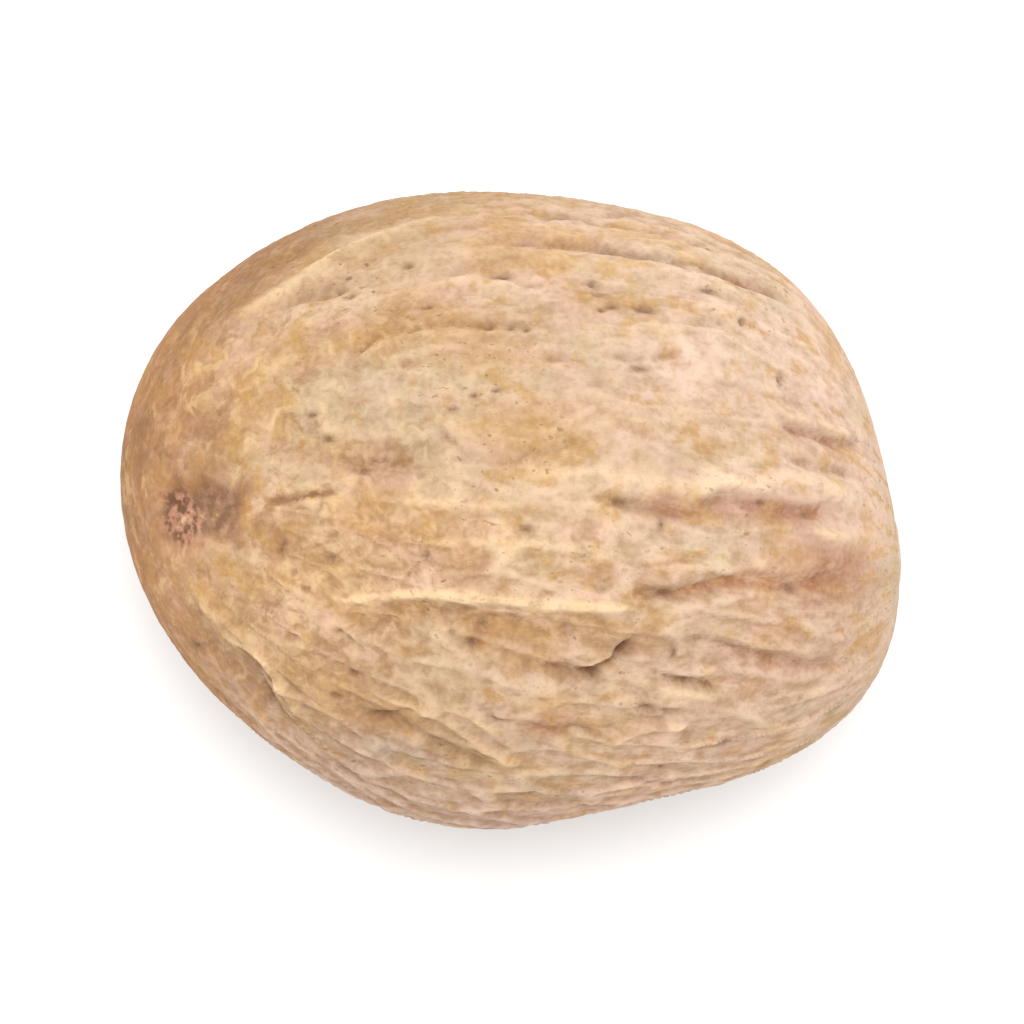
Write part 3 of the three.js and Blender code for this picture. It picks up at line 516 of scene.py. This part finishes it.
def skinRelief(way):
    # folds + fine net + swells + fibres + pebbles + single creases + scars, and the masks that colour them
    f = nutmeg["folds"]
    along, turn = grainOf(way)
    a = np.degrees(along)
    shift = sum(math.radians(degrees) * grainNoise(along, turn, cells, rows, seed)
                for cells, rows, degrees, seed in f["wander"])
    fineShift = f["fineWander"] * shift
    strength, fineStrength, clear, overRim = foldShares(along, turn)

    net, fine = f["net"], f["fineNet"]
    gap = grainNet(along, turn + shift, net["cells"], net["rows"], net["seed"])
    crest = 1 - smooth(gap, 0, net["crest"])
    crestLine = 1 - smooth(gap, 0, net["crest"] * 1.1)
    # the band at the foot of each crest, which the colour darkens as painted shade
    paintedFootShade = smooth(gap, net["crest"] / 3, net["crest"]) * (1 - smooth(gap, net["crest"], 2.4 * net["crest"]))
    fineGap = grainNet(along, turn + fineShift, fine["cells"], fine["rows"], fine["seed"])
    fineCrest = 1 - smooth(fineGap, 0, fine["crest"])
    height = strength * net["height"] * (crest - net["floor"])
    height = height + fineStrength * fine["height"] * (fineCrest - fine["floor"]) * (1 - 0.5 * crest)
    cells, rows, swellHeight, seed = f["swell"]
    height = height + clear * swellHeight * grainNoise(along, turn, cells, rows, seed)
    cells, rows, fibreHeight, seed = f["fibre"]
    height = height + (fibreHeight * grainNoise(along, turn + fineShift, cells, rows, seed)
                       * smooth(np.sin(along), 0.6, 0.92) * (1 - 0.6 * overRim))
    size, pebbleHeight, seed = f["pebble"]
    height = height + pebbleHeight * gridNoise(*(way * (nutmeg["body"]["girthRadius"] / size)).T, seed)

    lines, furrowToneAndShade, ridge, rusty = creaseRelief(along, turn, turn + f["creaseWander"] * shift)
    scarRise, scarMasks = scarRelief(along, way)
    small = pitShare(along, turn)
    netCrest = crestLine * strength * smooth(a, f["crestFrom"], f["crestTo"])
    height = height + lines - nutmeg["pitDepth"] * small + scarRise
    masks = dict(
        pit=np.clip(small, 0, 1),
        **stainMasks(along, turn, shift),
        crest=np.clip(netCrest + 0.22 * fineCrest * fineStrength, 0, 1),
        ridge=np.clip(4 * ridge, 0, 1)**1.6,
        # painted shade at the crests' feet; below, crease and mesh floors darkened partly as painted shade
        paintedFootShade=paintedFootShade * strength,
        furrowToneAndShade=np.clip(furrowToneAndShade * 2.6, 0, 1)**1.4,
        rusty=np.clip(rusty * 5, 0, 1) * smooth(a, 106, 118),
        # the net's floors, darkened partly as the skin's browner hollows and partly as painted shade
        hollowToneAndShade=np.clip((1 - crest) * strength, 0, 1),
        **scarMasks,
        tip=tipShare(way),
        along=a,
        overRim=overRim,
        fromScar=np.minimum(np.degrees(np.arccos(way @ nutmeg["scars"]["chalazaWay"])), a + 12),
    )
    return height, fineShift, masks


def skinTintAndShade(way, tip):
    # product of 1 + (tint - 1) * share over the tinted regions; the two on the upper rim are painted shadow
    along, turn = grainOf(way)
    tint = 1 + (np.array(nutmeg["tip"]["tint"]) - 1) * tip[:, None]
    for red, green, blue, atAlong, atTurn, halfLength, halfWidth in nutmeg["tintsAndShades"]:
        there = spotShare(along, turn, (atAlong, atTurn), (halfLength, halfWidth))
        tint = tint * (1 + (np.array((red, green, blue)) - 1) * there[:, None])
    return tint


def cubeSphere(n):
    # six n by n grids over a cube, evened by a tangent and pushed out to length 1; edges shared
    u, v = np.meshgrid(np.arange(n + 1), np.arange(n + 1), indexing="ij")
    zero, full = np.zeros_like(u), np.full_like(u, n)
    sides = [(full, u, v), (zero, v, u), (v, full, u), (u, zero, v), (u, v, full), (v, u, zero)]
    first = (np.arange(n)[:, None] * (n + 1) + np.arange(n)).ravel()
    quad = np.stack([first, first + n + 1, first + n + 2, first + 1], -1)
    points = np.concatenate([np.stack(s, -1).reshape(-1, 3) for s in sides])
    quads = np.concatenate([quad + k * (n + 1)**2 for k in range(6)])
    points, index = np.unique(points, axis=0, return_inverse=True)
    points = np.tan((points / n * 2 - 1) * math.pi / 4)
    return points / np.linalg.norm(points, axis=1)[:, None], index.reshape(-1)[quads]


def buildNutmeg():
    # point = direction * (body radius + relief), stood on z = 0 over the CAD node's middle
    way, quads = cubeSphere(nutmeg["steps"])
    relief, fineShift, masks = skinRelief(way)
    print("nutmeg's relief worked out")
    points = way * (bodyRadius(way) + relief)[:, None] * metres
    low, high = (np.array(corner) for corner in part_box("nutmeg"))
    middle = (points.min(0) + points.max(0)) / 2
    points[:, :2] += (low + high)[:2] / 2 - middle[:2]
    points[:, 2] += low[2] - points[:, 2].min() - nutmeg["body"]["flatDepth"] * metres
    points[:, 2] = np.maximum(points[:, 2], low[2])

    mesh = bpy.data.meshes.new("nutmegSkin")
    mesh.from_pydata(points.tolist(), [], quads.tolist())
    mesh.shade_smooth()
    # the fibres' own coordinates: round the girth twice, and along it, in millimetres
    along, turn = grainOf(way)
    radius = nutmeg["body"]["girthRadius"]
    turned = turn + fineShift
    grain = np.stack([radius * np.cos(turned), radius * np.sin(turned), along * radius], -1)
    # the tint carries painted shadow on the upper rim as well as hues
    for name, values in (("grain", grain), ("tint", skinTintAndShade(way, masks["tip"]))):
        attribute = mesh.attributes.new(name, "FLOAT_VECTOR", "POINT")
        attribute.data.foreach_set("vector", values.astype(np.float32).ravel())
    for name, values in masks.items():
        attribute = mesh.attributes.new(name, "FLOAT", "POINT")
        attribute.data.foreach_set("value", values.astype(np.float32))
    piece = bpy.data.objects.new("nutmegSkin", mesh)
    bpy.context.scene.collection.objects.link(piece)
    return piece


def tone(name):
    # the tone as linear light, by the sRGB curve
    c = np.array(nutmeg["tones"][name]) / 255
    linear = np.where(c <= 0.04045, c / 12.92, ((c + 0.055) / 1.055)**2.4)
    return (*linear.tolist(), 1)


def put(tree, socket, value):
    # links an output, or sets the socket's own value
    if isinstance(value, bpy.types.NodeSocket):
        tree.links.new(value, socket)
    else:
        socket.default_value = value


def readMask(tree, name, output="Fac"):
    # one of the mesh's own attributes
    node = tree.nodes.new("ShaderNodeAttribute")
    node.attribute_name = name
    return node.outputs[output]


def stretch(tree, vector, scale):
    # vector * scale
    node = tree.nodes.new("ShaderNodeMapping")
    put(tree, node.inputs["Vector"], vector)
    node.inputs["Scale"].default_value = scale
    return node.outputs["Vector"]


def noiseOf(tree, vector, scale, detail=2.0, roughness=0.5, distortion=0.0):
    # layered noise, about 0.3 to 0.7
    node = tree.nodes.new("ShaderNodeTexNoise")
    put(tree, node.inputs["Vector"], vector)
    node.inputs["Scale"].default_value = scale
    node.inputs["Detail"].default_value = detail
    node.inputs["Roughness"].default_value = roughness
    node.inputs["Distortion"].default_value = distortion
    return node.outputs["Fac"]


def between(tree, value, low, high, start=0.0, end=1.0):
    # start at low, end at high, eased between
    node = tree.nodes.new("ShaderNodeMapRange")
    node.interpolation_type = "SMOOTHSTEP"
    put(tree, node.inputs["Value"], value)
    for name, number in zip(("From Min", "From Max", "To Min", "To Max"), (low, high, start, end)):
        node.inputs[name].default_value = number
    return node.outputs["Result"]


def sums(tree, operation, a, b, clamp=False):
    # a and b added, subtracted, multiplied or compared
    node = tree.nodes.new("ShaderNodeMath")
    node.operation = operation
    node.use_clamp = clamp
    put(tree, node.inputs[0], a)
    put(tree, node.inputs[1], b)
    return node.outputs["Value"]


def both(tree, a, b, clamp=False):
    # a * b
    return sums(tree, "MULTIPLY", a, b, clamp)


def mixed(tree, amount, a, b, kind="FLOAT", sockets="VALUE"):
    # a where amount is 0, b where it is 1
    node = tree.nodes.new("ShaderNodeMix")
    node.data_type = kind
    put(tree, node.inputs[0], amount)
    ends = [socket for socket in node.inputs[1:] if socket.type == sockets and socket.enabled]
    put(tree, ends[0], a)
    put(tree, ends[1], b)
    return next(socket for socket in node.outputs if socket.type == sockets and socket.enabled)


def blend(tree, amount, under, over):
    # colour over another by an amount
    return mixed(tree, amount, under, over, "RGBA", "RGBA")


def times(tree, a, b):
    # a * b for each of red, green and blue
    node = tree.nodes.new("ShaderNodeVectorMath")
    node.operation = "MULTIPLY"
    put(tree, node.inputs[0], a)
    put(tree, node.inputs[1], b)
    return node.outputs["Vector"]


def skinNoises(tree):
    # the patterns that several layers share; fibrous ones follow the grain, round ones lie near the scars
    here = tree.nodes.new("ShaderNodeTexCoord").outputs["Object"]
    grain = readMask(tree, "grain", "Vector")
    along, fromScar = readMask(tree, "along"), readMask(tree, "fromScar")
    shortGrain = stretch(tree, grain, (1, 1, 0.8))
    atScars = sums(tree, "MAXIMUM", between(tree, fromScar, 72, 42), between(tree, along, 150, 164))
    mottleRound = noiseOf(tree, here, 1900, 4, 0.55, 0.7)
    mottleRim = noiseOf(tree, stretch(tree, here, (0.55, 1, 1)), 2200, 4, 0.55, 0.3)
    mottleLong = noiseOf(tree, shortGrain, 2.3, 4, 0.55)
    mottleLong = mixed(tree, readMask(tree, "overRim"), mottleLong, mottleRim)
    return dict(
        here=here, grain=grain, along=along, fromScar=fromScar,
        mottleRound=mottleRound,
        mottle=mixed(tree, atScars, mottleLong, mottleRound),
        streak=noiseOf(tree, stretch(tree, grain, (1, 1, 0.14)), 1.9, 4, 0.62),
        fibre=noiseOf(tree, shortGrain, 7.5, 3, 0.6),
        dashes=noiseOf(tree, shortGrain, 4.6, 2, 0.5),
        powder=noiseOf(tree, here, 5200, 3, 0.5),
        blotch=noiseOf(tree, here, 1150, 4, 0.6, 0.6),
        hueDrift=mixed(tree, between(tree, fromScar, 64, 40), noiseOf(tree, shortGrain, 1.05, 3, 0.6),
                       noiseOf(tree, here, 900, 3, 0.6)),
        nearChalaza=between(tree, fromScar, 50, 24),
        quiet=between(tree, along, 50, 90, 1.0, 0.66),
    )


def groundColour(tree, n):
    # base and wide patches: pale, shaded, rosy, sage, ochre, ashen, amber at the narrow end, then the stains
    here = n["here"]
    cloud = noiseOf(tree, here, 190, 3, 0.55)
    shade = noiseOf(tree, stretch(tree, n["grain"], (1, 1, 0.6)), 0.55, 3, 0.55)
    blush = noiseOf(tree, stretch(tree, here, (1.2, 2, 2)), 210, 3, 0.55, 0.3)
    flush = noiseOf(tree, here, 520, 3, 0.5)
    gold = noiseOf(tree, stretch(tree, here, (1, 1.7, 1.7)), 240, 3, 0.55)
    colour = blend(tree, between(tree, cloud, 0.38, 0.62), tone("base"), tone("pale"))
    layers = [
        # pattern, where it starts, where it is full, most, tone
        (shade, 0.47, 0.30, 0.62, "hollowToneAndShade"), (shade, 0.52, 0.68, 0.5, "crest"),
        (n["along"], 70, 130, 0.7, "rosy"),
        (blush, 0.52, 0.66, 0.8, "rosy"), (blush, 0.48, 0.34, 0.7, "sage"),
        (flush, 0.52, 0.68, 0.6, "rosy"), (flush, 0.48, 0.32, 0.6, "sage"),
        (gold, 0.50, 0.66, 0.7, "ochre"), (gold, 0.42, 0.30, 0.3, "ashen"),
    ]
    for pattern, start, full, most, name in layers:
        colour = blend(tree, between(tree, pattern, start, full, 0, most), colour, tone(name))
    colour = blend(tree, readMask(tree, "tip"), colour, tone("amber"))
    for name in ("cream", "rosy", "mauve", "ochre", "warm", "rust", "ashen", "sage", "brown", "pale"):
        colour = blend(tree, readMask(tree, name), colour, tone(name))
    return colour


def mottledColour(tree, n, colour):
    # blotches round the chalaza, drifts of hue, the net's floors darkened partly as painted shade, and
    # mottling that is calmer near the narrow end
    calm = both(tree, between(tree, n["fromScar"], 52, 26, 1.0, 0.62), n["quiet"])
    blotchDark = both(tree, between(tree, n["blotch"], 0.49, 0.36, 0, 0.75), n["nearChalaza"])
    blotchPale = both(tree, between(tree, n["blotch"], 0.53, 0.66, 0, 0.65), n["nearChalaza"])
    colour = blend(tree, blotchDark, colour, tone("brown"))
    colour = blend(tree, blotchPale, colour, tone("straw"))
    colour = blend(tree, between(tree, n["hueDrift"], 0.48, 0.34, 0, 0.75), colour, tone("ochre"))
    rosyDrift = both(tree, between(tree, n["hueDrift"], 0.53, 0.66, 0, 0.6), calm)
    colour = blend(tree, rosyDrift, colour, tone("rosy"))
    # the net's floors darkened: partly the skin's browner hollows, partly painted shade
    netFloorToneAndShade = both(tree, readMask(tree, "hollowToneAndShade"), between(tree, n["mottle"], 0.35, 0.62, 0.55, 0.1))
    colour = blend(tree, netFloorToneAndShade, colour, tone("hollowToneAndShade"))
    pales = both(tree, between(tree, n["mottle"], 0.51, 0.68, 0, 0.34), calm)
    darks = both(tree, between(tree, n["mottle"], 0.49, 0.33, 0, 0.37), calm)
    colour = blend(tree, pales, colour, tone("crest"))
    colour = blend(tree, darks, colour, tone("hollowToneAndShade"))
    awayFromScar = between(tree, n["fromScar"], 60, 90)
    streaks = both(tree, between(tree, n["streak"], 0.54, 0.66, 0, 0.25), awayFromScar)
    return blend(tree, streaks, colour, tone("crest"))


def foldColour(tree, n, colour):
    # painted shade in brown at the crests' feet, pale crests, the strongest stains again, ridges, furrows
    # darkened partly as painted shade, and pits
    mottle = n["mottle"]
    paintedFootShade = both(tree, readMask(tree, "paintedFootShade"), n["quiet"])
    crest = both(tree, readMask(tree, "crest"), n["quiet"])
    # painted shade at the foot of each crest, in brown
    paintedFootShadeHere = both(tree, paintedFootShade, between(tree, mottle, 0.60, 0.40, 0.2, 0.65))
    crestHere = both(tree, crest, between(tree, mottle, 0.38, 0.58, 0.0, 0.48), True)
    colour = blend(tree, paintedFootShadeHere, colour, tone("brown"))
    colour = blend(tree, crestHere, colour, tone("crest"))
    for name, share in (("ochre", 0.12), ("rust", 0.45), ("brown", 0.35)):
        colour = blend(tree, both(tree, readMask(tree, name), share), colour, tone(name))
    ridgeHere = both(tree, readMask(tree, "ridge"), between(tree, mottle, 0.32, 0.52, 0.3, 0.75))
    colour = blend(tree, ridgeHere, colour, tone("ridge"))
    # crease floors darkened by depth: partly their own rust and brown, partly painted shade
    furrowShadeHere = both(tree, readMask(tree, "furrowToneAndShade"), between(tree, mottle, 0.62, 0.40, 0.45, 0.95))
    furrowRustAndShade = blend(tree, readMask(tree, "rusty"), tone("furrowToneAndShade"), tone("rust"))
    colour = blend(tree, furrowShadeHere, colour, furrowRustAndShade)
    return blend(tree, readMask(tree, "pit"), colour, tone("dash"))


def scarColour(tree, n, colour):
    # brown halo and granular crust of the chalaza; pale, mottled disc and dark pore of the hilum
    haloHere = both(tree, readMask(tree, "halo"), between(tree, n["blotch"], 0.62, 0.44, 0.6, 1.0))
    colour = blend(tree, haloHere, colour, tone("halo"))
    granules = noiseOf(tree, n["here"], 2500, 3, 0.6)
    side = readMask(tree, "crustSide")
    crustTone = blend(tree, side, tone("crustPale"), tone("crustGrey"))
    darkGrains = both(tree, between(tree, granules, 0.55, 0.40), mixed(tree, side, 0.9, 0.55))
    crustTone = blend(tree, darkGrains, crustTone, tone("crust"))
    paleGrains = both(tree, between(tree, granules, 0.57, 0.68, 0, 0.8), mixed(tree, side, 1.0, 0.35))
    crustTone = blend(tree, paleGrains, crustTone, tone("crest"))
    colour = blend(tree, both(tree, readMask(tree, "crust"), 0.85), colour, crustTone)
    discTone = blend(tree, between(tree, n["mottleRound"], 0.40, 0.60), tone("disc"), tone("discPale"))
    discTone = blend(tree, between(tree, n["mottleRound"], 0.42, 0.30, 0, 0.6), discTone, tone("brown"))
    colour = blend(tree, both(tree, readMask(tree, "disc"), 0.85), colour, discTone)
    return blend(tree, readMask(tree, "pore"), colour, tone("pore"))


def skinMaterial():
    # colour: ground, mottling, folds with their painted shade, dashes, powder, scars, times the tint, which
    # holds painted shadow on the upper rim; bump: fibres, mottling, powder
    material = bpy.data.materials.new("nutmegSkin")
    material.use_nodes = True
    tree = material.node_tree
    shader = tree.nodes["Principled BSDF"]
    n = skinNoises(tree)
    colour = groundColour(tree, n)
    colour = mottledColour(tree, n, colour)
    colour = foldColour(tree, n, colour)

    awayFromChalaza = sums(tree, "SUBTRACT", 1.0, n["nearChalaza"])
    crowds = between(tree, noiseOf(tree, n["here"], 300, 2, 0.5), 0.44, 0.62, 0.1, 0.75)
    dashHere = both(tree, between(tree, n["dashes"], 0.62, 0.74), both(tree, crowds, awayFromChalaza))
    dashHere = both(tree, dashHere, n["quiet"])
    colour = blend(tree, dashHere, colour, tone("dash"))
    colour = blend(tree, between(tree, n["powder"], 0.40, 0.66, 0, 0.14), colour, tone("crest"))
    colour = blend(tree, between(tree, n["powder"], 0.48, 0.30, 0, 0.2), colour, tone("hollowToneAndShade"))
    colour = scarColour(tree, n, colour)
    # the tint includes painted shadow on the upper rim
    put(tree, shader.inputs["Base Color"], times(tree, colour, readMask(tree, "tint", "Vector")))

    height = both(tree, n["fibre"], 0.5)
    height = sums(tree, "ADD", height, both(tree, n["mottle"], 0.8))
    height = sums(tree, "SUBTRACT", height, both(tree, dashHere, 0.6))
    height = sums(tree, "ADD", height, both(tree, n["powder"], 0.4))
    bump = tree.nodes.new("ShaderNodeBump")
    bump.inputs["Distance"].default_value = nutmeg["bumpDistance"]
    bump.inputs["Strength"].default_value = nutmeg["bumpStrength"]
    put(tree, bump.inputs["Height"], height)
    put(tree, shader.inputs["Normal"], bump.outputs["Normal"])
    put(tree, shader.inputs["Roughness"], between(tree, n["powder"], 0.3, 0.7, 0.78, 0.94))
    shader.inputs["Specular IOR Level"].default_value = 0.25
    shader.inputs["Diffuse Roughness"].default_value = 0.7
    return material


nutmegSkin = buildNutmeg()
print("nutmeg's mesh made")
nutmegSkin.data.materials.append(skinMaterial())
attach(nutmegSkin, "root")
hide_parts("nutmeg")
print("nutmeg's skin coloured")


stageSet = dict(
    floorSize=1.6, floorTone=0.85,
    roll=7.13,                     # degrees: turns the nutmeg's length the way it lies
    cameraHeight=0.6, frameWidth=0.0335, lookUp=0.0095, sensorWidth=36,
    # name, place, size, watts
    lights=[("keyLight", (0.0, 0.115, 0.54), 0.40, 3.0)],
    worldStrength=1.0,
)


def makeFloor():
    # a square round the origin at z = 0
    half = stageSet["floorSize"] / 2
    mesh = bpy.data.meshes.new("floor")
    mesh.from_pydata([(-half, -half, 0), (half, -half, 0), (half, half, 0), (-half, half, 0)], [],
                     [(0, 1, 2, 3)])
    floor = bpy.data.objects.new("floor", mesh)
    bpy.context.scene.collection.objects.link(floor)
    material = bpy.data.materials.new("whiteFloor")
    material.use_nodes = True
    shader = material.node_tree.nodes["Principled BSDF"]
    shader.inputs["Base Color"].default_value = (*[stageSet["floorTone"]] * 3, 1)
    shader.inputs["Roughness"].default_value = 0.9
    mesh.materials.append(material)


def makeLights():
    # round soft lights turned to the origin, and an even white world
    for name, place, size, watts in stageSet["lights"]:
        data = bpy.data.lights.new(name, "AREA")
        data.shape = "DISK"
        data.size = size
        data.energy = watts
        light = bpy.data.objects.new(name, data)
        light.location = place
        light.rotation_euler = (-Vector(place)).to_track_quat("-Z", "Y").to_euler()
        bpy.context.scene.collection.objects.link(light)
    world = bpy.data.worlds.new("softWhite")
    world.use_nodes = True
    background = world.node_tree.nodes["Background"]
    background.inputs["Color"].default_value = (1, 1, 1, 1)
    background.inputs["Strength"].default_value = stageSet["worldStrength"]
    bpy.context.scene.world = world


def makeCamera():
    # straight above; lens = sensor width * distance / frame width
    s = stageSet
    data = bpy.data.cameras.new("camera")
    data.sensor_width = s["sensorWidth"]
    data.lens = s["sensorWidth"] * (s["cameraHeight"] - s["lookUp"]) / s["frameWidth"]
    data.clip_start = 0.01
    camera = bpy.data.objects.new("camera", data)
    camera.location = (0, 0, s["cameraHeight"])
    camera.rotation_euler = (0, 0, math.radians(s["roll"]))
    bpy.context.scene.collection.objects.link(camera)
    bpy.context.scene.camera = camera
    bpy.context.scene.view_settings.view_transform = "Standard"


makeFloor()
makeLights()
makeCamera()
print("floor, lights and camera made")
